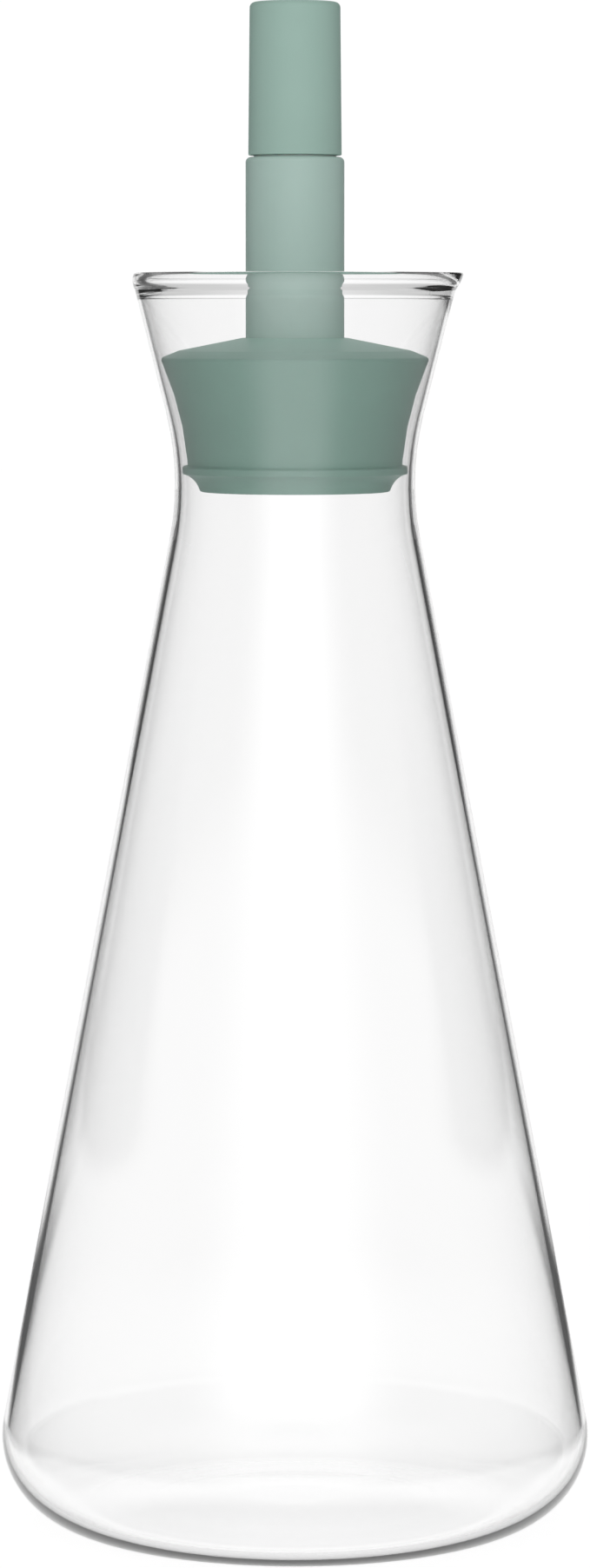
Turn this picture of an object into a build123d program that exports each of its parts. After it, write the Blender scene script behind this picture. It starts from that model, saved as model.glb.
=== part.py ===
"""Conical glass dispenser bottle with a tapered pouring stopper and a pull-off spout cap.

Millimetres, +Z up. The origin is the centre of the circle that the flask stands on, and the
pouring lip of the flask points along +X.
"""

import os
from math import acos, atan2, cos, degrees, hypot, pi, radians, sin, sqrt, tan

from build123d import *

# Flask: one piece of blown glass
base_radius = 50.0  # widest radius, outside
flask_height = 211.8  # to the top of the rim bead
base_corner_radius = 14.7
throat_radius = 20.2  # narrowest radius, outside
throat_height = 176.6
neck_arc_radius = 47.5  # the waist between the lower cone and the flared mouth
mouth_radius = 27.2  # outside of the wall where it meets the rim bead
glass_wall = 1.2
glass_floor = 2.0
foot_width = 6.0  # flat ring that the flask stands on
push_up = 1.2  # rise of the bottom's centre
bead_half_height = 1.4
bead_inset = 0.25  # the bead's centre from the middle of the wall, inwards
bead_cover = 0.05  # how far the bead covers the wall's outer edge
lip_reach = 1.3  # how far the pouring lip stands out of the rim circle
lip_arc_radius = 16.0
lip_depth = 3.0
lip_blend_radius = 8.0  # turn of the bead from the rim circle into the lip

# Pour insert: the spout that is pushed down into the stem barrel
pour_radius = 4.2  # radius of the pouring channel
spout_wall = 1.7
spout_taper = 0.8
spout_taper_length = 6.0
drip_edge_reach = 0.45
drip_edge_height = 0.9
collar_thickness = 1.4
collar_stand = 0.25  # collar above the barrel's top face
collar_seat_width = 0.15  # collar under the cap's lower edge
insert_floor_thickness = 1.6
flow_hole_radius = 1.15
flow_hole_count = 5
flow_hole_circle_radius = 2.75

# Cap: pulls straight up off the spout
cap_length = 25.4
cap_gap = 0.3  # barrel's top face up to the cap's lower edge
cap_to_spout = 0.5
cap_wall = 1.42  # at the lower edge
cap_draft = 0.25  # radius lost from the lower edge to the top
cap_top_round = 0.8
cap_roof = 2.0
cap_lead_in = 0.4
liner_thickness = 2.0
spigot_length = 3.0
spigot_side_gap = 0.3  # spigot to the pouring channel's wall
spigot_taper = 0.4

# Stem barrel: the rigid tube that stands in the plug
stem_step = 0.45  # barrel beyond the cap's lower edge
stem_length = 30.05  # dome top up to the barrel's top face
stem_top_round = 0.8
barrel_wall = 2.17
barrel_root_wall = 1.6  # below the flange
barrel_flange_reach = 3.6
barrel_flange_thickness = 2.0
barrel_flange_depth = 8.6  # dome top down to the flange's underside
barrel_end_inset = 0.4  # plug underside up to the barrel's lower end

# Stopper plug: moulded silicone
seat_clearance = 0.08  # plug to glass
plug_side_gap = 0.45  # plug to glass halfway up the plug's side
plug_seat_depth = 14.35  # rim top down to the plug's upper edge
plug_edge_height = 22.4  # upper edge down to the plug's underside
shoulder_run = 3.1
shoulder_rise = 1.25
dome_rise = 2.25
sealing_lip_height = 4.3  # underside up to the sealing lip's upper face
sealing_lip_thickness = 1.2
sealing_lip_overhang = 0.9  # lip beyond the foot of the plug's side
lip_undercut = 0.3  # how far the lip's underside curves in from straight
underside_inset = 2.95  # sealing lip in to the underside's edge
hollow_rim = 1.3  # wall outside the ring-shaped hollow that lets the skirt flex
hollow_width = 2.2
hollow_depth = 12.0

# Air tube: lets air back into the flask while it pours
air_tube_radius = 1.2
air_tube_wall = 0.3
air_tube_inset = 0.08  # tube to the wall of the pouring channel
air_tube_recess = 1.0  # below the end of the cap liner's spigot

# Rubber rings
seal_ring_thickness = 1.2
seal_ring_rise = 8.0  # insert's lower end up to the seal ring's centre
grip_ring_thickness = 1.5
grip_ring_rise = 5.0  # barrel's top face up to the grip ring's centre
groove_side_clearance = 0.06
groove_depth_share = 0.8  # of the ring's thickness

# Fits
fit_gap = 0.03  # between pieces that are pressed together
running_gap = 0.1  # between the cap's bore and what it slides over
seal_gap = 0.1  # between the spout's top edge and the cap's liner

# ---------------------------------------------------------------- radii that follow
spout_radius = pour_radius + spout_wall
cap_bore_radius = spout_radius + cap_to_spout
cap_foot_radius = cap_bore_radius + cap_wall
collar_radius = cap_bore_radius + cap_lead_in + collar_seat_width
stem_radius = cap_foot_radius + stem_step
barrel_bore_radius = stem_radius - barrel_wall
stem_root_radius = barrel_bore_radius + barrel_root_wall
barrel_flange_radius = stem_root_radius + barrel_flange_reach

# ---------------------------------------------------------------- heights that follow
bead_height = flask_height - bead_half_height
plug_edge = flask_height - plug_seat_depth
plug_bottom = plug_edge - plug_edge_height
shoulder_height = plug_edge + shoulder_rise
dome_top = shoulder_height + dome_rise
stem_top = dome_top + stem_length
barrel_bottom = plug_bottom + barrel_end_inset
flange_bottom = dome_top - barrel_flange_depth
flange_top = flange_bottom + barrel_flange_thickness
cap_bottom = stem_top + cap_gap
cap_top = cap_bottom + cap_length
cap_ceiling = cap_top - cap_roof
spout_top = cap_ceiling - liner_thickness - seal_gap
spigot_bottom = spout_top + seal_gap - spigot_length
collar_top = stem_top + collar_stand
collar_seat = collar_top - collar_thickness
air_tube_x = -(pour_radius - air_tube_radius - air_tube_inset)
air_tube_top = spigot_bottom - air_tube_recess

# ---------------------------------------------------------------- flask outline
# The outline is two cones that are tangent to three circles: the base corner, the waist and,
# at the top, the point where the wall meets the rim bead.
corner_centre = (base_radius - base_corner_radius, base_corner_radius)
waist_centre = (throat_radius + neck_arc_radius, throat_height)


def lower_cone_angle():
    """Lean of the lower cone from vertical: the tangent that crosses between both circles."""
    dx = waist_centre[0] - corner_centre[0]
    dz = waist_centre[1] - corner_centre[1]
    return atan2(dz, dx) - acos((neck_arc_radius + base_corner_radius) / hypot(dx, dz))


def upper_cone_angle():
    """Lean of the mouth from vertical: the tangent from the rim point to the waist circle."""
    dx = waist_centre[0] - mouth_radius
    dz = waist_centre[1] - bead_height
    return -(atan2(dz, dx) + acos(neck_arc_radius / hypot(dx, dz)))


lower_lean = lower_cone_angle()
upper_lean = upper_cone_angle()


def on_circle(centre, radius, angle):
    return (centre[0] + radius * cos(angle), centre[1] + radius * sin(angle))


def arc(centre, radius, start, end):
    """Arc about centre from one angle to another, both in radians."""
    return ThreePointArc(
        on_circle(centre, radius, start),
        on_circle(centre, radius, (start + end) / 2),
        on_circle(centre, radius, end),
    )


def mouth_inner_radius(height):
    """Inner radius of the glass at a height above the throat."""
    reach = neck_arc_radius + glass_wall
    tangent = on_circle(waist_centre, reach, pi - upper_lean)
    if height >= tangent[1]:
        return tangent[0] + (height - tangent[1]) * tan(upper_lean)
    return waist_centre[0] - sqrt(reach**2 - (height - throat_height) ** 2)


def turned(*edges):
    """Solid of revolution about Z from a closed outline drawn as (radius, height)."""
    return revolve(Plane.XZ * make_face(edges), Axis.Z)


def turned_polygon(*points):
    return turned(*Polyline(*points, close=True).edges())


def ring(inner, outer, bottom, top):
    """Plain round ring, or a disc where inner is 0."""
    return turned_polygon((inner, bottom), (outer, bottom), (outer, top), (inner, top))


def shallow_dome(radius, rim_height, rise):
    """Arc from the axis, at rim_height + rise, out to radius at rim_height."""
    dome_radius = (radius**2 + rise**2) / (2 * rise)
    centre = (0, rim_height + rise - dome_radius)
    edge_angle = atan2(rim_height - centre[1], radius)
    return arc(centre, dome_radius, pi / 2, edge_angle)


def bowed(start, end, sagitta):
    """Arc between two points, bowed to the left of the way from start to end."""
    run = (end[0] - start[0], end[1] - start[1])
    reach = sagitta / hypot(*run)
    middle = (start[0] + run[0] / 2 - reach * run[1], start[1] + run[1] / 2 + reach * run[0])
    return ThreePointArc(start, middle, end)


def flask_side(offset, floor_lift):
    """Edges of the glass from the base corner to the mouth, offset inwards from the outside."""
    corner = base_corner_radius - offset
    lift = floor_lift - offset
    centre = (corner_centre[0] - lift * tan(lower_lean), corner_centre[1] + lift)
    waist = neck_arc_radius + offset
    corner_end = on_circle(centre, corner, lower_lean)
    waist_start = on_circle(waist_centre, waist, pi + lower_lean)
    waist_end = on_circle(waist_centre, waist, pi - upper_lean)
    rim = (
        mouth_radius - offset * cos(upper_lean),
        bead_height + offset * sin(upper_lean),
    )
    edges = [
        arc(centre, corner, -pi / 2, lower_lean),
        Line(corner_end, waist_start),
        arc(waist_centre, waist, pi + lower_lean, pi - upper_lean),
        Line(waist_end, rim),
    ]
    return centre[0], rim, edges


def flask_envelope():
    """Everything inside the outer surface of the glass."""
    foot_outer, rim, side = flask_side(0, 0)
    foot_inner = foot_outer - foot_width
    return turned(
        shallow_dome(foot_inner, 0, push_up),
        Line((foot_inner, 0), (foot_outer, 0)),
        *side,
        Line(rim, (0, rim[1])),
        Line((0, rim[1]), (0, push_up)),
    )


def flask_cavity():
    """The space inside the glass, carried on past the rim."""
    floor_outer, rim, side = flask_side(glass_wall, glass_floor)
    floor_inner = corner_centre[0] - foot_width
    over = 2 * bead_half_height
    above = (rim[0] + over * tan(upper_lean), rim[1] + over)
    return turned(
        shallow_dome(floor_inner, glass_floor, push_up),
        Line((floor_inner, glass_floor), (floor_outer, glass_floor)),
        *side,
        Line(rim, above),
        Line(above, (0, above[1])),
        Line((0, above[1]), (0, glass_floor + push_up)),
    )


lip_centre = mouth_radius + lip_reach - lip_arc_radius
lip_lean = atan2(lip_reach + lip_depth * tan(upper_lean), lip_depth)


def lip_funnel(offset, over):
    """Small flared cone, off the flask's axis, that forms the pouring lip."""
    top = bead_height + over
    bottom = bead_height - lip_depth
    radius = lip_arc_radius - offset / cos(lip_lean)
    top_radius = radius + over * tan(lip_lean)
    foot_radius = radius - lip_depth * tan(lip_lean)
    funnel = turned_polygon((0, bottom), (foot_radius, bottom), (top_radius, top), (0, top))
    return Pos(lip_centre, 0, 0) * funnel


def bead_arc(centre, radius, start, end):
    """Length of rim bead that runs round a vertical axis, between two angles in radians."""
    half_width = glass_wall / cos(lip_lean) / 2 + bead_inset + bead_cover
    section = Plane.XZ * (Pos(radius, bead_height) * Ellipse(half_width, bead_half_height))
    turned_bead = revolve(section, Axis.Z, degrees(end - start))
    return Pos(*centre, 0) * (Rot(0, 0, degrees(start)) * turned_bead)


def rim_bead():
    """Lengths of bead: two blends, the lip between them, and the rest of the rim circle."""
    rim = mouth_radius - glass_wall / cos(upper_lean) / 2 - bead_inset
    lip = lip_arc_radius - glass_wall / cos(lip_lean) / 2 - bead_inset
    # centre of a blend circle that touches the rim circle and the lip circle from outside
    far_rim = rim + lip_blend_radius
    far_lip = lip + lip_blend_radius
    along = (far_rim**2 - far_lip**2 + lip_centre**2) / (2 * lip_centre)
    across = sqrt(far_rim**2 - along**2)
    rim_turn = atan2(across, along)
    lip_turn = atan2(across, along - lip_centre)
    return [
        bead_arc((along, across), lip_blend_radius, rim_turn - pi, lip_turn - pi),
        bead_arc((along, -across), lip_blend_radius, pi - lip_turn, pi - rim_turn),
        bead_arc((lip_centre, 0), lip, -lip_turn, lip_turn),
        bead_arc((0, 0), rim, rim_turn, 2 * pi - rim_turn),
    ]


def make_flask():
    envelope = flask_envelope() + lip_funnel(0, 0)
    cavity = flask_cavity() + lip_funnel(glass_wall, bead_half_height)
    flask = envelope - cavity
    for length_of_bead in rim_bead():
        flask += length_of_bead
    return flask


# ---------------------------------------------------------------- stopper
def make_stopper_plug():
    edge = (mouth_inner_radius(plug_edge) - seat_clearance, plug_edge)
    shoulder = (edge[0] - shoulder_run, shoulder_height)
    lip_top = plug_bottom + sealing_lip_height
    under_lip = lip_top - sealing_lip_thickness
    lip_radius = mouth_inner_radius(under_lip) - seat_clearance
    foot = (lip_radius - sealing_lip_overhang, lip_top)
    middle_height = (lip_top + plug_edge) / 2
    middle = (mouth_inner_radius(middle_height) - plug_side_gap, middle_height)
    underside = (lip_radius - underside_inset, plug_bottom)
    body = turned(
        Line((0, plug_bottom), underside),
        bowed(underside, (lip_radius, under_lip), lip_undercut),
        Line((lip_radius, under_lip), (lip_radius, lip_top)),
        Line((lip_radius, lip_top), foot),
        ThreePointArc(foot, middle, edge),
        Line(edge, shoulder),
        Line(shoulder, (stem_radius, dome_top)),
        Line((stem_radius, dome_top), (0, dome_top)),
        Line((0, dome_top), (0, plug_bottom)),
    )
    flange_outer = barrel_flange_radius + fit_gap
    stem_bore = ring(0, stem_radius + fit_gap, flange_top, dome_top)
    flange_pocket = ring(0, flange_outer, flange_bottom - fit_gap, flange_top + fit_gap)
    root_bore = ring(0, stem_root_radius + fit_gap, plug_bottom, flange_bottom)
    hollow_outer = underside[0] - hollow_rim
    hollow_top = plug_bottom + hollow_depth
    hollow = ring(hollow_outer - hollow_width, hollow_outer, plug_bottom, hollow_top)
    return body - stem_bore - flange_pocket - root_bore - hollow


def make_stem_barrel():
    round_centre = (stem_radius - stem_top_round, stem_top - stem_top_round)
    step = flange_bottom
    barrel = turned(
        Line((barrel_bore_radius, barrel_bottom), (stem_root_radius, barrel_bottom)),
        Line((stem_root_radius, barrel_bottom), (stem_root_radius, step)),
        Line((stem_root_radius, step), (barrel_flange_radius, step)),
        Line((barrel_flange_radius, step), (barrel_flange_radius, flange_top)),
        Line((barrel_flange_radius, flange_top), (stem_radius, flange_top)),
        Line((stem_radius, flange_top), (stem_radius, round_centre[1])),
        arc(round_centre, stem_top_round, 0, pi / 2),
        Line((round_centre[0], stem_top), (barrel_bore_radius, stem_top)),
        Line((barrel_bore_radius, stem_top), (barrel_bore_radius, barrel_bottom)),
    )
    return barrel - ring(0, collar_radius, collar_seat, stem_top)


def ring_groove(surface_radius, thickness, height):
    """Groove for a round rubber ring that stands out of a surface."""
    depth = groove_depth_share * thickness
    half = thickness / 2 + groove_side_clearance
    return ring(surface_radius - depth, surface_radius, height - half, height + half)


def make_pour_insert():
    body_radius = barrel_bore_radius - fit_gap
    collar = collar_radius - fit_gap
    seat = collar_seat + fit_gap
    taper_top = spout_top - drip_edge_height
    tip_radius = spout_radius - spout_taper
    body = turned_polygon(
        (0, barrel_bottom),
        (body_radius, barrel_bottom),
        (body_radius, seat),
        (collar, seat),
        (collar, collar_top),
        (spout_radius, collar_top),
        (spout_radius, taper_top - spout_taper_length),
        (tip_radius, taper_top),
        (tip_radius + drip_edge_reach, spout_top),
        (0, spout_top),
    )
    channel = ring(0, pour_radius, barrel_bottom + insert_floor_thickness, spout_top)
    tube_hole = Pos(air_tube_x, 0, 0) * ring(
        0, air_tube_radius + fit_gap, barrel_bottom, barrel_bottom + insert_floor_thickness
    )
    body -= channel + tube_hole
    for k in range(flow_hole_count):
        turn = radians(180 + 360 * (k + 1) / (flow_hole_count + 1))
        x = flow_hole_circle_radius * cos(turn)
        y = flow_hole_circle_radius * sin(turn)
        body -= Pos(x, y, 0) * ring(
            0, flow_hole_radius, barrel_bottom, barrel_bottom + insert_floor_thickness
        )
    seal_height = barrel_bottom + seal_ring_rise
    body -= ring_groove(body_radius, seal_ring_thickness - fit_gap, seal_height)
    body -= ring_groove(spout_radius, grip_ring_thickness, stem_top + grip_ring_rise)
    return body


def round_ring(outer_radius, thickness, height):
    """Rubber ring of round section, measured over its outside."""
    centre = (outer_radius - thickness / 2, height)
    section = Plane.XZ * (Pos(*centre) * Circle(thickness / 2))
    return revolve(section, Axis.Z)


def make_insert_seal_ring():
    """Fills the groove between the insert and the barrel's bore."""
    section = groove_depth_share * (seal_ring_thickness - fit_gap) - fit_gap
    height = barrel_bottom + seal_ring_rise
    return round_ring(barrel_bore_radius - fit_gap, section, height)


def make_cap_grip_ring():
    height = stem_top + grip_ring_rise
    return round_ring(cap_bore_radius - running_gap, grip_ring_thickness, height)


def make_air_tube():
    tube = ring(
        air_tube_radius - air_tube_wall, air_tube_radius, barrel_bottom, air_tube_top
    )
    return Pos(air_tube_x, 0, 0) * tube


# ---------------------------------------------------------------- cap
def make_cap_shell():
    lean = cap_draft / cap_length
    top_radius = cap_foot_radius - cap_draft
    round_centre = (top_radius - cap_top_round, cap_top - cap_top_round)
    side_top = top_radius + lean * cap_top_round
    return turned(
        Line((cap_bore_radius + cap_lead_in, cap_bottom), (cap_foot_radius, cap_bottom)),
        Line((cap_foot_radius, cap_bottom), (side_top, round_centre[1])),
        Spline(
            (side_top, round_centre[1]),
            on_circle(round_centre, cap_top_round, pi / 4),
            (round_centre[0], cap_top),
            tangents=((-lean, 1), (-1, 0)),
        ),
        Line((round_centre[0], cap_top), (0, cap_top)),
        Line((0, cap_top), (0, cap_ceiling)),
        Line((0, cap_ceiling), (cap_bore_radius, cap_ceiling)),
        Line((cap_bore_radius, cap_ceiling), (cap_bore_radius, cap_bottom + cap_lead_in)),
        Line(
            (cap_bore_radius, cap_bottom + cap_lead_in),
            (cap_bore_radius + cap_lead_in, cap_bottom),
        ),
    )


def make_cap_liner():
    """Soft disc under the cap's roof, with a spigot that stops the pouring channel."""
    face = cap_ceiling - liner_thickness
    rim = cap_bore_radius - fit_gap
    spigot_radius = pour_radius - spigot_side_gap
    return turned_polygon(
        (0, spigot_bottom),
        (spigot_radius - spigot_taper, spigot_bottom),
        (spigot_radius, face),
        (rim, face),
        (rim, cap_ceiling - fit_gap),
        (0, cap_ceiling - fit_gap),
    )


makers = {
    "flask": make_flask,
    "stopper_plug": make_stopper_plug,
    "stem_barrel": make_stem_barrel,
    "pour_insert": make_pour_insert,
    "insert_seal_ring": make_insert_seal_ring,
    "cap_grip_ring": make_cap_grip_ring,
    "air_tube": make_air_tube,
    "cap_shell": make_cap_shell,
    "cap_liner": make_cap_liner,
}

os.makedirs("parts", exist_ok=True)
for node, make in makers.items():
    export_step(make(), f"parts/{node}.step")
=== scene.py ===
"""Looks of the conical glass dispenser bottle: blown glass, silicone stopper, cap and light.

The sizes and outlines are in millimetres, and lathe() turns them into metres. The stage and the
camera are in metres.
"""
from math import atan2, ceil, cos, hypot, pi, radians, sin, tan

import bpy
import numpy as np
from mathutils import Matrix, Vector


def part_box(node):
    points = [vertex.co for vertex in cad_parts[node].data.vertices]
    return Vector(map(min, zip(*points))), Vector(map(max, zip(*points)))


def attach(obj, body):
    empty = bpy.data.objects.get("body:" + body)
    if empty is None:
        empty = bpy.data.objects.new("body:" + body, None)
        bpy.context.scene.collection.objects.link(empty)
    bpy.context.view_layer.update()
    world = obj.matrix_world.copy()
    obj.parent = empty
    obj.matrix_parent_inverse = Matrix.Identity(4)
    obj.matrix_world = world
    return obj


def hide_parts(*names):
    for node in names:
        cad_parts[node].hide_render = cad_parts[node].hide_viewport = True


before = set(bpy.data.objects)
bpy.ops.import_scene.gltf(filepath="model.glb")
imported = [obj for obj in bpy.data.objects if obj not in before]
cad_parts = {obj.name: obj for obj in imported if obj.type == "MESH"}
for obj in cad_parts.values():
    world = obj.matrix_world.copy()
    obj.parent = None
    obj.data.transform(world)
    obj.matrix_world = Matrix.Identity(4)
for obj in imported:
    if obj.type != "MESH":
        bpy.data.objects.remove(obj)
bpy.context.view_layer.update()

MM = 0.001


def reach(node):
    """Largest radius, lowest height and highest height of a round CAD node, in millimetres."""
    low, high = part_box(node)
    return high.y / MM, low.z / MM, high.z / MM


# ---------------------------------------------------------------- sizes
base_radius, _, flask_top = reach("flask")
plug_radius, plug_bottom, dome_top = reach("stopper_plug")
flange_radius, barrel_bottom, stem_top = reach("stem_barrel")
cap_radius, cap_bottom, cap_top = reach("cap_shell")
liner_radius, spigot_bottom, liner_top = reach("cap_liner")
grip_radius, grip_bottom, grip_top = reach("cap_grip_ring")
seal_radius, seal_bottom, seal_top = reach("insert_seal_ring")

# Flask
base_corner = 14.7
cone_lean = radians(10.81)
mouth_lean = radians(14.07)
waist_arc = 47.5
mouth_radius = 27.2  # outside of the wall at the bead's middle
glass_wall, mouth_wall, glass_floor = 1.2, 0.9, 2.0
floor_corner = 13.0  # inside, where the floor turns into the wall
foot_width = 6.0
foot_edge = 110.0  # shallow curve between the foot ring and the pushed-up middle
push_up = 1.2
push_up_arc = 190.0
bead_height = 2.8
bead_inner, bead_outer = 25.15, 27.38
bead_crown = 0.34  # how far the bead's sides lean in above and below its middle
bead_top_round, bead_side_round, bead_foot_round = 0.75, 2.4, 0.8
bead_foot_rise = 0.25  # bead's lower turn above its bottom
bead_root = 1.6  # hollow curve from the bead into the wall
outer_root_drop, inner_root_drop = 0.15, 1.25  # hollow curves below the bead's bottom
lip_reach = 1.35
lip_width = radians(22)  # half-angle at which the pouring lip has sunk to a third
lip_depth = 4.2

# Stopper plug
edge_drop = 14.35  # rim top down to the plug's upper edge
shoulder_run, shoulder_rise = 3.1, 1.25
side_hollow = 0.75
edge_fillet, shoulder_fillet, stem_fillet = 0.55, 0.7, 0.5
foot_fillet, lip_top_fillet, lip_edge_fillet = 0.35, 0.3, 0.25
lip_radius = 18.94
lip_height, lip_thickness, lip_overhang = 4.3, 1.2, 0.9
lip_undercut = 0.5
underside_inset = 2.95
hollow_rim, hollow_width, hollow_depth = 1.3, 2.2, 12.0
hollow_mouth_round, hollow_end_round = 0.4, 0.7

# Stem barrel, cap and rings
stem_radius = 8.27
stem_bore = 6.1
stem_root = 7.7
stem_round = 0.85
flange_thickness, flange_depth = 2.0, 8.6
flange_bottom = dome_top - flange_depth
flange_top = flange_bottom + flange_thickness
collar_radius, collar_seat = 6.98, 1.15
cap_bore = 6.4
cap_draft = 0.25
cap_round, cap_ceiling_round = 0.95, 0.3
cap_roof = 2.0
spigot_radius, spigot_taper = 3.9, 0.4
spigot_round, liner_face_round = 0.4, 0.15
liner_thickness = 2.0
edge_round = 0.18  # ordinary moulded edge
sharp_round, crisp_round = 0.1, 0.08  # edges inside, which mate with other pieces
cap_lead_in = 0.4

# Meshes
part_step, glass_step = radians(7), radians(4)  # longest turn between points of a fillet
part_run, glass_run = 3.0, 6.0  # longest straight run between points
part_segments, glass_segments = 160, 400
ring_points = 24
on_axis = 1e-6  # a smaller radius is a point on the axis


# ---------------------------------------------------------------- outlines and turned meshes
straight = 1e-4  # radians; a smaller turn needs no fillet
bow_fillet = 0.9  # share of the bowed run that the fillet takes up


def rounded(corners, closed=False, step=part_step):
    """Points (radius, height, normal r, normal z) along straight runs joined by fillets.

    Each corner is (radius, height) or (radius, height, fillet). The solid is on the left of the
    way along the outline, so the normals point to the right.
    """
    places = [np.array(c[:2], float) for c in corners]
    count = len(places)
    rows = []
    for k, corner in enumerate(corners):
        fillet = corner[2] if len(corner) > 2 else 0.0
        here = places[k]
        before = places[k - 1] if closed or k > 0 else None
        after = places[(k + 1) % count] if closed or k < count - 1 else None
        ways = [w / np.linalg.norm(w) for w in
                ([here - before] if before is not None else []) +
                ([after - here] if after is not None else [])]
        first, last = ways[0], ways[-1]
        turn = atan2(first[0] * last[1] - first[1] * last[0], first @ last)
        if abs(turn) < straight or before is None or after is None:
            rows.append((*here, last[1], -last[0]))
            continue
        side = 1 if turn > 0 else -1
        centre = here - first * fillet * tan(abs(turn) / 2)
        centre = centre + side * fillet * np.array([-first[1], first[0]])
        steps = max(2, ceil(abs(turn) / step))
        heading = atan2(first[1], first[0])
        for way in np.linspace(heading, heading + turn, steps + 1):
            normal = np.array([sin(way), -cos(way)])
            rows.append((*(centre + side * fillet * normal), *normal))
    return np.array(rows)


def bow(start, end, sagitta):
    """Corner with a fillet that bends the run between two points to the left by sagitta."""
    run = np.subtract(end, start)
    chord = hypot(*run)
    middle = np.add(start, end) / 2 + 2 * sagitta / chord * np.array([-run[1], run[0]])
    return (*middle, bow_fillet * chord**2 / (8 * sagitta))


def subdivided(outline, longest, closed=False):
    """The same outline with extra points, so that no run is longer than longest."""
    rows = []
    ends = np.vstack([outline[1:], outline[:1]]) if closed else outline[1:]
    for here, there in zip(outline, ends):
        pieces = max(1, ceil(hypot(*(there - here)[:2]) / longest))
        rows += [here + (there - here) * k / pieces for k in range(pieces)]
    if not closed:
        rows.append(outline[-1])
    rows = np.array(rows)
    rows[:, 2:] /= np.linalg.norm(rows[:, 2:], axis=1, keepdims=True)
    return rows


def no_push(angle, height):
    return 0.0 * height, 0.0 * height, 0.0 * height


def lathe(name, outline, body, material, nodes, closed=False, segments=part_segments,
          push=no_push):
    """Turns an outline about Z into a smooth mesh that stands for CAD nodes.

    push gives how far the surface is moved outwards at an angle and height, and how that changes
    with each. Its normals are exact, so glass bends light without facets.
    """
    vertices, normals = [], []
    count = len(outline)
    radius, height, out, up = outline.T
    for k in range(segments):
        angle = 2 * pi * k / segments
        moved, by_angle, by_height = push(angle, height)
        around = -by_angle * out / np.maximum(radius + moved, 1.0)
        rise = up - by_height * out
        ring = radius + np.where(radius > 0, moved, 0)
        vertices.append(np.column_stack([ring * cos(angle), ring * sin(angle), height]))
        normals.append(np.column_stack([
            out * cos(angle) - around * sin(angle),
            out * sin(angle) + around * cos(angle),
            rise,
        ]))
    vertices = np.concatenate(vertices) * MM
    normals = np.concatenate(normals)
    normals /= np.linalg.norm(normals, axis=1, keepdims=True)
    index = np.arange(segments * count).reshape(segments, count)
    poles = [k for k in range(count) if radius[k] < on_axis]
    for k in poles:
        index[:, k] = index[0, k]
    faces = []
    runs = count if closed else count - 1
    for k in range(segments):
        here, there = index[k], index[(k + 1) % segments]
        for i in range(runs):
            j = (i + 1) % count
            face = [here[i], there[i], there[j], here[j]]
            faces.append([v for n, v in enumerate(face) if v not in face[:n]])
    used = np.unique(np.concatenate([np.array(f) for f in faces]))
    renumber = np.zeros(len(vertices), int)
    renumber[used] = np.arange(len(used))
    mesh = bpy.data.meshes.new(name)
    mesh.from_pydata(vertices[used].tolist(), [], [[int(renumber[v]) for v in f] for f in faces])
    mesh.shade_smooth()
    mesh.normals_split_custom_set_from_vertices(normals[used].tolist())
    mesh.materials.append(material)
    piece = bpy.data.objects.new(name, mesh)
    bpy.context.scene.collection.objects.link(piece)
    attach(piece, body)
    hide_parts(*nodes)
    return piece


# ---------------------------------------------------------------- materials
usual_noise = (0.3, 0.7)
mottle_shade = 0.955  # darker of the two shades in a soft green
mottle_depth = 6e-6  # metres


def new_material(name, **values):
    """Principled material with constant values on the shader's own sockets."""
    material = bpy.data.materials.new(name)
    material.use_nodes = True
    shader = material.node_tree.nodes["Principled BSDF"]
    for socket, value in values.items():
        shader.inputs[socket.replace("_", " ")].default_value = value
    return material, material.node_tree, shader


def noise(tree, scale, detail=2.0, roughness=0.5):
    """Noise texture fixed to the object, with its scale in features per metre."""
    where = tree.nodes.new("ShaderNodeTexCoord")
    texture = tree.nodes.new("ShaderNodeTexNoise")
    texture.inputs["Scale"].default_value = scale
    texture.inputs["Detail"].default_value = detail
    texture.inputs["Roughness"].default_value = roughness
    tree.links.new(where.outputs["Object"], texture.inputs["Vector"])
    return texture.outputs["Fac"]


def spread(tree, value, low, high):
    """Maps a noise value's usual range onto low to high."""
    node = tree.nodes.new("ShaderNodeMapRange")
    node.inputs["From Min"].default_value = usual_noise[0]
    node.inputs["From Max"].default_value = usual_noise[1]
    node.inputs["To Min"].default_value = low
    node.inputs["To Max"].default_value = high
    tree.links.new(value, node.inputs["Value"])
    return node.outputs["Result"]


def mixed_colour(tree, share, first, second):
    node = tree.nodes.new("ShaderNodeMix")
    node.data_type = "RGBA"
    node.inputs["A"].default_value = (*first, 1)
    node.inputs["B"].default_value = (*second, 1)
    tree.links.new(share, node.inputs["Factor"])
    return node.outputs["Result"]


def bump(tree, shader, layers):
    """Stacks bump layers, each (height socket, depth in metres)."""
    previous = None
    for height, depth in layers:
        node = tree.nodes.new("ShaderNodeBump")
        node.inputs["Strength"].default_value = 1.0
        node.inputs["Distance"].default_value = depth
        tree.links.new(height, node.inputs["Height"])
        if previous is not None:
            tree.links.new(previous, node.inputs["Normal"])
        previous = node.outputs["Normal"]
    tree.links.new(previous, shader.inputs["Normal"])


def glass_material():
    """Clear borosilicate glass."""
    material, tree, shader = new_material(
        "clear_borosilicate_glass", IOR=1.47, Transmission_Weight=1.0, Roughness=0.0,
    )
    shader.inputs["Base Color"].default_value = (1, 1, 1, 1)
    return material


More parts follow.
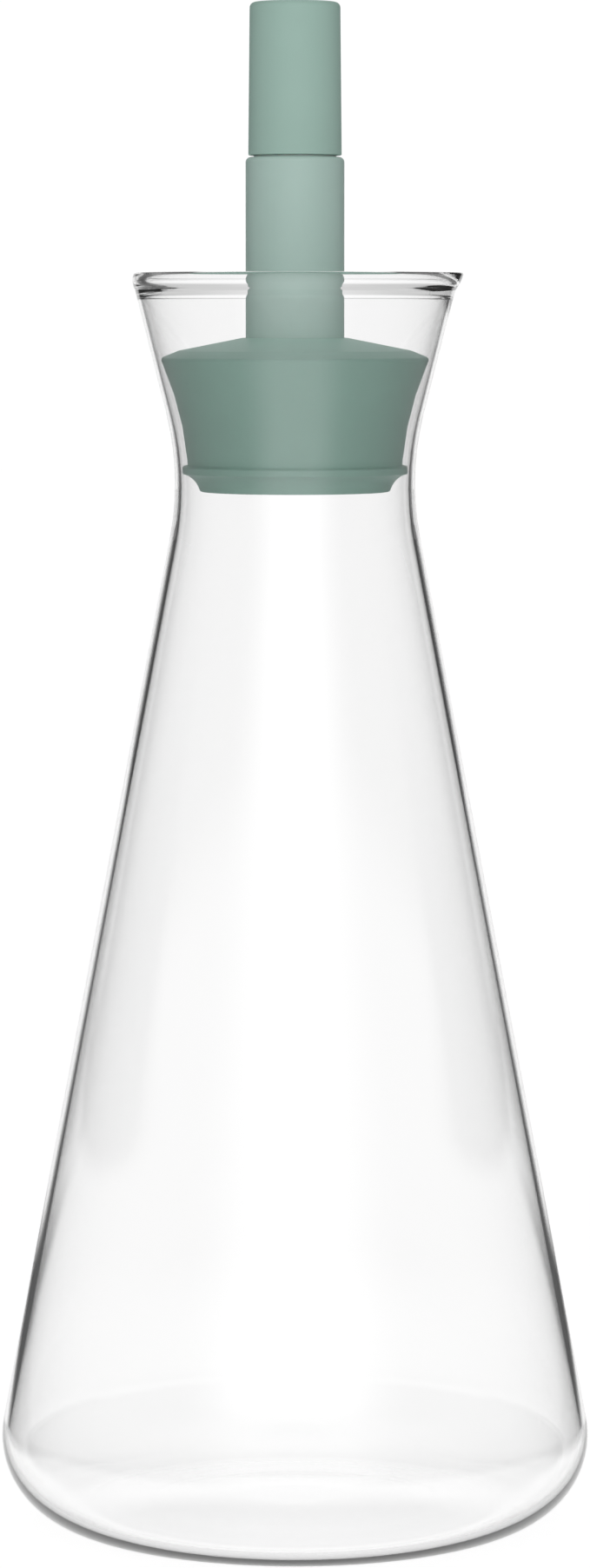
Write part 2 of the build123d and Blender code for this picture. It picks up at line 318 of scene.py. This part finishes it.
def soft_material(name, colour, grain_depth, roughness):
    """Matte silicone or soft-touch coat: fine grain, faint mottling, a little light inside."""
    material, tree, shader = new_material(
        name, IOR=1.42, Subsurface_Weight=0.08, Subsurface_Scale=0.001,
    )
    shader.inputs["Subsurface Radius"].default_value = (0.6, 0.9, 0.8)
    darker = tuple(mottle_shade * c for c in colour)
    mottle = noise(tree, 160, detail=3)
    tree.links.new(mixed_colour(tree, mottle, colour, darker), shader.inputs["Base Color"])
    grain = noise(tree, 3200, detail=2)
    tree.links.new(spread(tree, grain, *roughness), shader.inputs["Roughness"])
    bump(tree, shader, [(noise(tree, 420), mottle_depth), (grain, grain_depth)])
    return material


def spout_material():
    """Satin moulded plastic, a little translucent, with faint flow marks."""
    material, tree, shader = new_material(
        "spout_plastic", IOR=1.49, Subsurface_Weight=0.25, Subsurface_Scale=0.0015,
    )
    flow = noise(tree, 260, detail=3)
    colour = mixed_colour(tree, flow, (0.78, 0.80, 0.76), (0.73, 0.75, 0.71))
    tree.links.new(colour, shader.inputs["Base Color"])
    grain = noise(tree, 2600)
    tree.links.new(spread(tree, grain, 0.26, 0.36), shader.inputs["Roughness"])
    bump(tree, shader, [(grain, 5e-6)])
    return material


def rubber_material():
    """Pale translucent seal rubber."""
    material, tree, shader = new_material(
        "seal_rubber", IOR=1.41, Subsurface_Weight=0.3, Subsurface_Scale=0.001,
    )
    cloud = noise(tree, 500, detail=3)
    colour = mixed_colour(tree, cloud, (0.72, 0.75, 0.72), (0.64, 0.67, 0.64))
    tree.links.new(colour, shader.inputs["Base Color"])
    grain = noise(tree, 4200)
    tree.links.new(spread(tree, grain, 0.42, 0.55), shader.inputs["Roughness"])
    bump(tree, shader, [(grain, 8e-6)])
    return material


def tube_material():
    """Drawn stainless tube: fine lines along its length."""
    material, tree, shader = new_material("drawn_steel", Metallic=1.0, Anisotropic=0.4)
    where = tree.nodes.new("ShaderNodeTexCoord")
    stretch = tree.nodes.new("ShaderNodeMapping")
    stretch.inputs["Scale"].default_value = (1, 1, 0.02)
    lines = tree.nodes.new("ShaderNodeTexNoise")
    lines.inputs["Scale"].default_value = 9000
    tree.links.new(where.outputs["Object"], stretch.inputs["Vector"])
    tree.links.new(stretch.outputs["Vector"], lines.inputs["Vector"])
    grain = lines.outputs["Fac"]
    tree.links.new(
        mixed_colour(tree, grain, (0.60, 0.61, 0.62), (0.50, 0.51, 0.52)),
        shader.inputs["Base Color"],
    )
    tree.links.new(spread(tree, grain, 0.2, 0.34), shader.inputs["Roughness"])
    bump(tree, shader, [(grain, 4e-6)])
    return material


glass = glass_material()
silicone = soft_material(
    "green_silicone", (0.422, 0.668, 0.576), grain_depth=1.2e-5, roughness=(0.38, 0.48))
soft_stem = soft_material(
    "green_soft_touch_stem", (0.548, 0.735, 0.668), grain_depth=8e-6, roughness=(0.40, 0.50))
soft_cap = soft_material(
    "green_soft_touch_cap", (0.440, 0.640, 0.563), grain_depth=8e-6, roughness=(0.5, 0.62))
spout = spout_material()
rubber = rubber_material()
steel = tube_material()


# ---------------------------------------------------------------- flask
def flask_outline():
    """Outside of the glass from the bottom's centre up, over the rim bead and down the inside."""
    corner_centre = base_radius - base_corner
    foot_inner = corner_centre - foot_width
    cone_foot = corner_centre + base_corner * (1 / cos(cone_lean) + tan(cone_lean))
    bead_middle = flask_top - bead_height / 2
    bead_bottom = flask_top - bead_height
    mouth_foot = mouth_radius - bead_middle * tan(mouth_lean)  # where the mouth's line meets 0

    def waist(offset, mouth_offset):
        """Corner of the lower cone and the mouth, and its fillet, offset into the glass."""
        low = cone_foot - offset / cos(cone_lean)
        high = mouth_foot - mouth_offset / cos(mouth_lean)
        height = (low - high) / (tan(cone_lean) + tan(mouth_lean))
        return low - height * tan(cone_lean), height, waist_arc + offset

    def wall(height, offset):
        """Radius of the mouth's wall at a height."""
        return mouth_foot - offset / cos(mouth_lean) + height * tan(mouth_lean)

    inner_cone_foot = cone_foot - glass_wall / cos(cone_lean) - glass_floor * tan(cone_lean)
    return rounded([
        (0, push_up),
        (foot_inner / 2, push_up, push_up_arc),
        (foot_inner, 0, foot_edge),
        (cone_foot, 0, base_corner),
        waist(0, 0),
        (wall(bead_bottom, 0), bead_bottom - outer_root_drop, bead_root),
        (bead_outer - bead_crown, bead_bottom + bead_foot_rise, bead_foot_round),
        (bead_outer, bead_middle, bead_side_round),
        (bead_outer - bead_crown, flask_top, bead_top_round),
        (bead_inner + bead_crown, flask_top, bead_top_round),
        (bead_inner, bead_middle, bead_side_round),
        (bead_inner + bead_crown, bead_bottom + bead_foot_rise, bead_foot_round),
        (wall(bead_bottom, mouth_wall), bead_bottom - inner_root_drop, bead_root),
        waist(glass_wall, mouth_wall),
        (inner_cone_foot, glass_floor, floor_corner),
        (foot_inner, glass_floor, foot_edge),
        (foot_inner / 2, glass_floor + push_up, push_up_arc),
        (0, glass_floor + push_up),
    ], step=glass_step)


def pouring_lip(angle, height):
    """How far the pouring lip stands out, and its slope round and up the flask."""
    turn = angle if angle < pi else angle - 2 * pi
    bump_round = np.exp(-((turn / lip_width) ** 2))
    rise = np.clip((height - (flask_top - lip_depth)) / lip_depth, 0, 1)
    moved = lip_reach * bump_round * rise**2
    return moved, moved * (-2 * turn / lip_width**2), lip_reach * bump_round * 2 * rise / lip_depth


def make_flask():
    outline = subdivided(flask_outline(), glass_run)
    lathe(
        "flask_glass", outline, "flask", glass, ["flask"],
        segments=glass_segments, push=pouring_lip,
    )


# ---------------------------------------------------------------- stopper
def make_plug():
    edge_height = flask_top - edge_drop
    lip_top = plug_bottom + lip_height
    under_lip = lip_top - lip_thickness
    underside = (lip_radius - underside_inset, plug_bottom)
    lip_edge = (lip_radius, under_lip)
    foot = (lip_radius - lip_overhang, lip_top)
    edge = (plug_radius, edge_height)
    hollow_outer = underside[0] - hollow_rim
    hollow_inner = hollow_outer - hollow_width
    hollow_top = plug_bottom + hollow_depth
    outline = rounded([
        (stem_root, plug_bottom, edge_round),
        (hollow_inner, plug_bottom, hollow_mouth_round),
        (hollow_inner, hollow_top, hollow_end_round),
        (hollow_outer, hollow_top, hollow_end_round),
        (hollow_outer, plug_bottom, hollow_mouth_round),
        (*underside, foot_fillet),
        bow(underside, lip_edge, lip_undercut),
        (*lip_edge, lip_edge_fillet),
        (lip_radius, lip_top, lip_top_fillet),
        (*foot, foot_fillet),
        bow(foot, edge, side_hollow),
        (*edge, edge_fillet),
        (plug_radius - shoulder_run, edge_height + shoulder_rise, shoulder_fillet),
        (stem_radius, dome_top, stem_fillet),
        (stem_radius, flange_top, sharp_round),
        (flange_radius, flange_top, sharp_round),
        (flange_radius, flange_bottom, sharp_round),
        (stem_root, flange_bottom, sharp_round),
    ], closed=True)
    outline = subdivided(outline, part_run, closed=True)
    lathe("plug_silicone", outline, "stopper", silicone, ["stopper_plug"], closed=True)


def make_barrel():
    seat = stem_top - collar_seat
    outline = rounded([
        (stem_bore, barrel_bottom, edge_round),
        (stem_root, barrel_bottom, edge_round),
        (stem_root, flange_bottom, sharp_round),
        (flange_radius, flange_bottom, sharp_round),
        (flange_radius, flange_top, sharp_round),
        (stem_radius, flange_top, sharp_round),
        (stem_radius, stem_top, stem_round),
        (collar_radius, stem_top, crisp_round),
        (collar_radius, seat, crisp_round),
        (stem_bore, seat, crisp_round),
    ], closed=True)
    outline = subdivided(outline, part_run, closed=True)
    lathe("stem_soft_touch", outline, "stopper", soft_stem, ["stem_barrel"], closed=True)


def ring_outline(outer, bottom, top):
    """Round section that touches the given radius, bottom and top."""
    radius = (top - bottom) / 2
    centre = (outer - radius, bottom + radius)
    angles = np.linspace(0, 2 * pi, ring_points, endpoint=False)
    return np.column_stack([
        centre[0] + radius * np.cos(angles), centre[1] + radius * np.sin(angles),
        np.cos(angles), np.sin(angles),
    ])


def make_rings():
    grip = ring_outline(grip_radius, grip_bottom, grip_top)
    lathe("grip_ring_rubber", grip, "stopper", rubber, ["cap_grip_ring"], closed=True)
    seal = ring_outline(seal_radius, seal_bottom, seal_top)
    lathe("seal_ring_rubber", seal, "stopper", rubber, ["insert_seal_ring"], closed=True)


# ---------------------------------------------------------------- cap
def make_cap():
    ceiling = cap_top - cap_roof
    outline = rounded([
        (0, ceiling),
        (cap_bore, ceiling, cap_ceiling_round),
        (cap_bore, cap_bottom + cap_lead_in, sharp_round),
        (cap_bore + cap_lead_in, cap_bottom, sharp_round),
        (cap_radius, cap_bottom, edge_round),
        (cap_radius - cap_draft, cap_top, cap_round),
        (0, cap_top),
    ])
    lathe("cap_soft_touch", subdivided(outline, part_run), "cap", soft_cap, ["cap_shell"])


def make_liner():
    face = liner_top - liner_thickness
    outline = rounded([
        (0, spigot_bottom),
        (spigot_radius - spigot_taper, spigot_bottom, spigot_round),
        (spigot_radius, face, liner_face_round),
        (liner_radius, face, liner_face_round),
        (liner_radius, liner_top, sharp_round),
        (0, liner_top),
    ])
    lathe("liner_rubber", subdivided(outline, part_run), "cap", rubber, ["cap_liner"])


def dress_cad_nodes():
    """CAD nodes whose shape is right keep it, and get their real material."""
    for node, material in (("pour_insert", spout), ("air_tube", steel)):
        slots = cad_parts[node].data.materials
        slots.clear()
        slots.append(material)


# ---------------------------------------------------------------- stage, light and camera
floor_size = 12.0
floor_drop = 0.00005  # below the foot ring, so that the two faces don't meet
painted_pool_edges = (0.17, 0.27)  # radius at which the painted pool of light on the floor round the bottle gives way to the painted copy of the room
# painted light: glow of the painted pool of white on the floor round the bottle
painted_pool_level = 1.05
painted_strip_edges = (0.085, 0.11)  # half width of the painted white strip on the floor behind the bottle
painted_flag_start = (0.0, 0.05)  # how far behind the bottle's axis the painted dark flags beside the strip begin
painted_flag_end = (0.27, 0.47)  # radius at which those painted flags end
# the floor's own grey; its white look comes from the painted glow
floor_albedo = 0.22
floor_light = 0.55  # brightness of the light that falls on the floor
back_edges = (0.27, 0.43)  # sideways share of a direction where the back panel ends
floor_edges = (0.36, 0.46)  # the same for the painted copy of the back panel on the floor, where the camera must see no end
flag_edges = (0.50, 0.82)  # where the dark flag beside the panel gives way to the side wall
front_edges = (0.26, 0.80)  # where the front light gives way to the side wall
back_level, flag_level, front_level, side_level = 1.02, 0.06, 1.12, 0.30
panel_top = (0.17, 0.34)  # upward share where the back panel ends
above_panel_level = 0.65
sky_edges = (0.60, 0.90)  # upward share where the walls give way to the ceiling
sky_level = 0.55
camera_distance, camera_height = 0.891, 0.2054
camera_tilt = radians(5.11)
camera_lens, camera_sensor = 121.5, 36  # millimetres
camera_near = 0.01


def feed(tree, socket, value):
    """Gives a socket a constant or another node's output."""
    if isinstance(value, (int, float)):
        socket.default_value = value
    else:
        tree.links.new(value, socket)


def math_node(tree, operation, *values):
    node = tree.nodes.new("ShaderNodeMath")
    node.operation = operation
    for socket, value in zip(node.inputs, values):
        feed(tree, socket, value)
    return node.outputs[0]


def smooth_step(tree, value, edges, low, high):
    """Number that goes smoothly from low to high as value goes from one edge to the other."""
    node = tree.nodes.new("ShaderNodeMapRange")
    node.interpolation_type = "SMOOTHSTEP"
    for socket, number in zip(node.inputs[1:5], (*edges, low, high)):
        socket.default_value = number
    tree.links.new(value, node.inputs["Value"])
    return node.outputs["Result"]


def mixed(tree, share, first, second):
    """Number that goes from first to second as share goes from 0 to 1."""
    node = tree.nodes.new("ShaderNodeMix")
    for socket, value in zip(("Factor", "A", "B"), (share, first, second)):
        feed(tree, node.inputs[socket], value)
    return node.outputs["Result"]


def room(tree, x, y, panel, panel_edges):
    """Brightness of the room towards a direction seen from above, and that direction's length.

    A white panel stands behind the bottle with a dark flag on each side, and a broad light in
    front. The side walls are dim. make_floor also paints the floor's glow with it, as painted
    light that copies the room's brightness.
    """
    x_squared, y_squared = (math_node(tree, "MULTIPLY", way, way) for way in (x, y))
    length = math_node(tree, "SQRT", math_node(tree, "ADD", x_squared, y_squared))
    sideways = math_node(tree, "DIVIDE", math_node(tree, "ABSOLUTE", x), length)
    off_panel = smooth_step(tree, sideways, panel_edges, 0.0, 1.0)
    beside = smooth_step(tree, sideways, flag_edges, flag_level, side_level)
    back = mixed(tree, off_panel, panel, beside)
    front = smooth_step(tree, sideways, front_edges, front_level, side_level)
    behind = math_node(tree, "GREATER_THAN", y, 0.0)
    return mixed(tree, behind, front, back), length


def make_studio():
    """The room as light from all round: walls, and a ceiling above them."""
    world = bpy.data.worlds.new("studio")
    bpy.context.scene.world = world
    world.use_nodes = True
    tree = world.node_tree
    where = tree.nodes.new("ShaderNodeTexCoord")
    split = tree.nodes.new("ShaderNodeSeparateXYZ")
    tree.links.new(where.outputs["Generated"], split.inputs["Vector"])
    x, y, z = split.outputs
    panel = smooth_step(tree, z, panel_top, back_level, above_panel_level)
    walls, _ = room(tree, x, y, panel, back_edges)
    overhead = smooth_step(tree, z, sky_edges, 0.0, 1.0)
    level = mixed(tree, overhead, walls, sky_level)
    tree.links.new(level, tree.nodes["Background"].inputs["Strength"])
    tree.nodes["Background"].inputs["Color"].default_value = (1, 1, 1, 1)


def make_floor():
    """Dim floor glowing with painted light: a painted white pool round the bottle, which
    fades into a painted copy of the room's brightness so that no edge shows.

    Behind the bottle the painted white narrows to a strip with a painted dark flag on each side.
    """
    bpy.ops.mesh.primitive_plane_add(size=floor_size, location=(0, 0, -floor_drop))
    floor = bpy.context.object
    floor.name = "floor"
    material, tree, shader = new_material("painted_light_floor", Roughness=1.0)
    shader.inputs["Specular IOR Level"].default_value = 0.0
    shader.inputs["Base Color"].default_value = (floor_albedo, floor_albedo, floor_albedo, 1)
    shader.inputs["Emission Color"].default_value = (1, 1, 1, 1)
    where = tree.nodes.new("ShaderNodeTexCoord")
    split = tree.nodes.new("ShaderNodeSeparateXYZ")
    tree.links.new(where.outputs["Object"], split.inputs["Vector"])
    x, y, _ = split.outputs
    # painted light: the floor glows with a copy of the room's brightness towards each place, and
    # with a painted pool of white round the bottle
    painted_room_level, distance = room(tree, x, y, back_level, floor_edges)
    away = smooth_step(tree, distance, painted_pool_edges, 0.0, 1.0)
    painted_pool = mixed(tree, away, painted_pool_level, painted_room_level)
    # painted shade: a white strip behind the bottle with a painted dark flag on each side, at
    # flag_level
    beside_painted_strip = smooth_step(tree, math_node(tree, "ABSOLUTE", x), painted_strip_edges, 0.0, 1.0)
    close = smooth_step(tree, distance, painted_flag_end, 1.0, 0.0)
    beyond = smooth_step(tree, y, painted_flag_start, 0.0, 1.0)
    painted_flag_share = math_node(
        tree, "MULTIPLY", beyond, math_node(tree, "MULTIPLY", beside_painted_strip, close))
    painted_brightness = mixed(tree, painted_flag_share, painted_pool, flag_level)
    # painted glow: the emission adds the rest of the painted brightness on top of the floor's own
    # lit grey
    painted_glow = math_node(tree, "SUBTRACT", painted_brightness, floor_albedo * floor_light)
    tree.links.new(math_node(tree, "MAXIMUM", painted_glow, 0.0), shader.inputs["Emission Strength"])
    floor.data.materials.append(material)


def make_camera():
    camera = bpy.data.objects.new("camera", bpy.data.cameras.new("camera"))
    bpy.context.scene.collection.objects.link(camera)
    camera.location = (0, -camera_distance, camera_height)
    camera.rotation_euler = (pi / 2 - camera_tilt, 0, 0)
    camera.data.lens = camera_lens
    camera.data.sensor_width = camera_sensor
    camera.data.clip_start = camera_near
    bpy.context.scene.camera = camera


make_camera()
make_flask()
make_plug()
make_barrel()
make_rings()
make_cap()
make_liner()
dress_cad_nodes()
make_floor()
make_studio()
bpy.context.scene.view_settings.view_transform = "Standard"
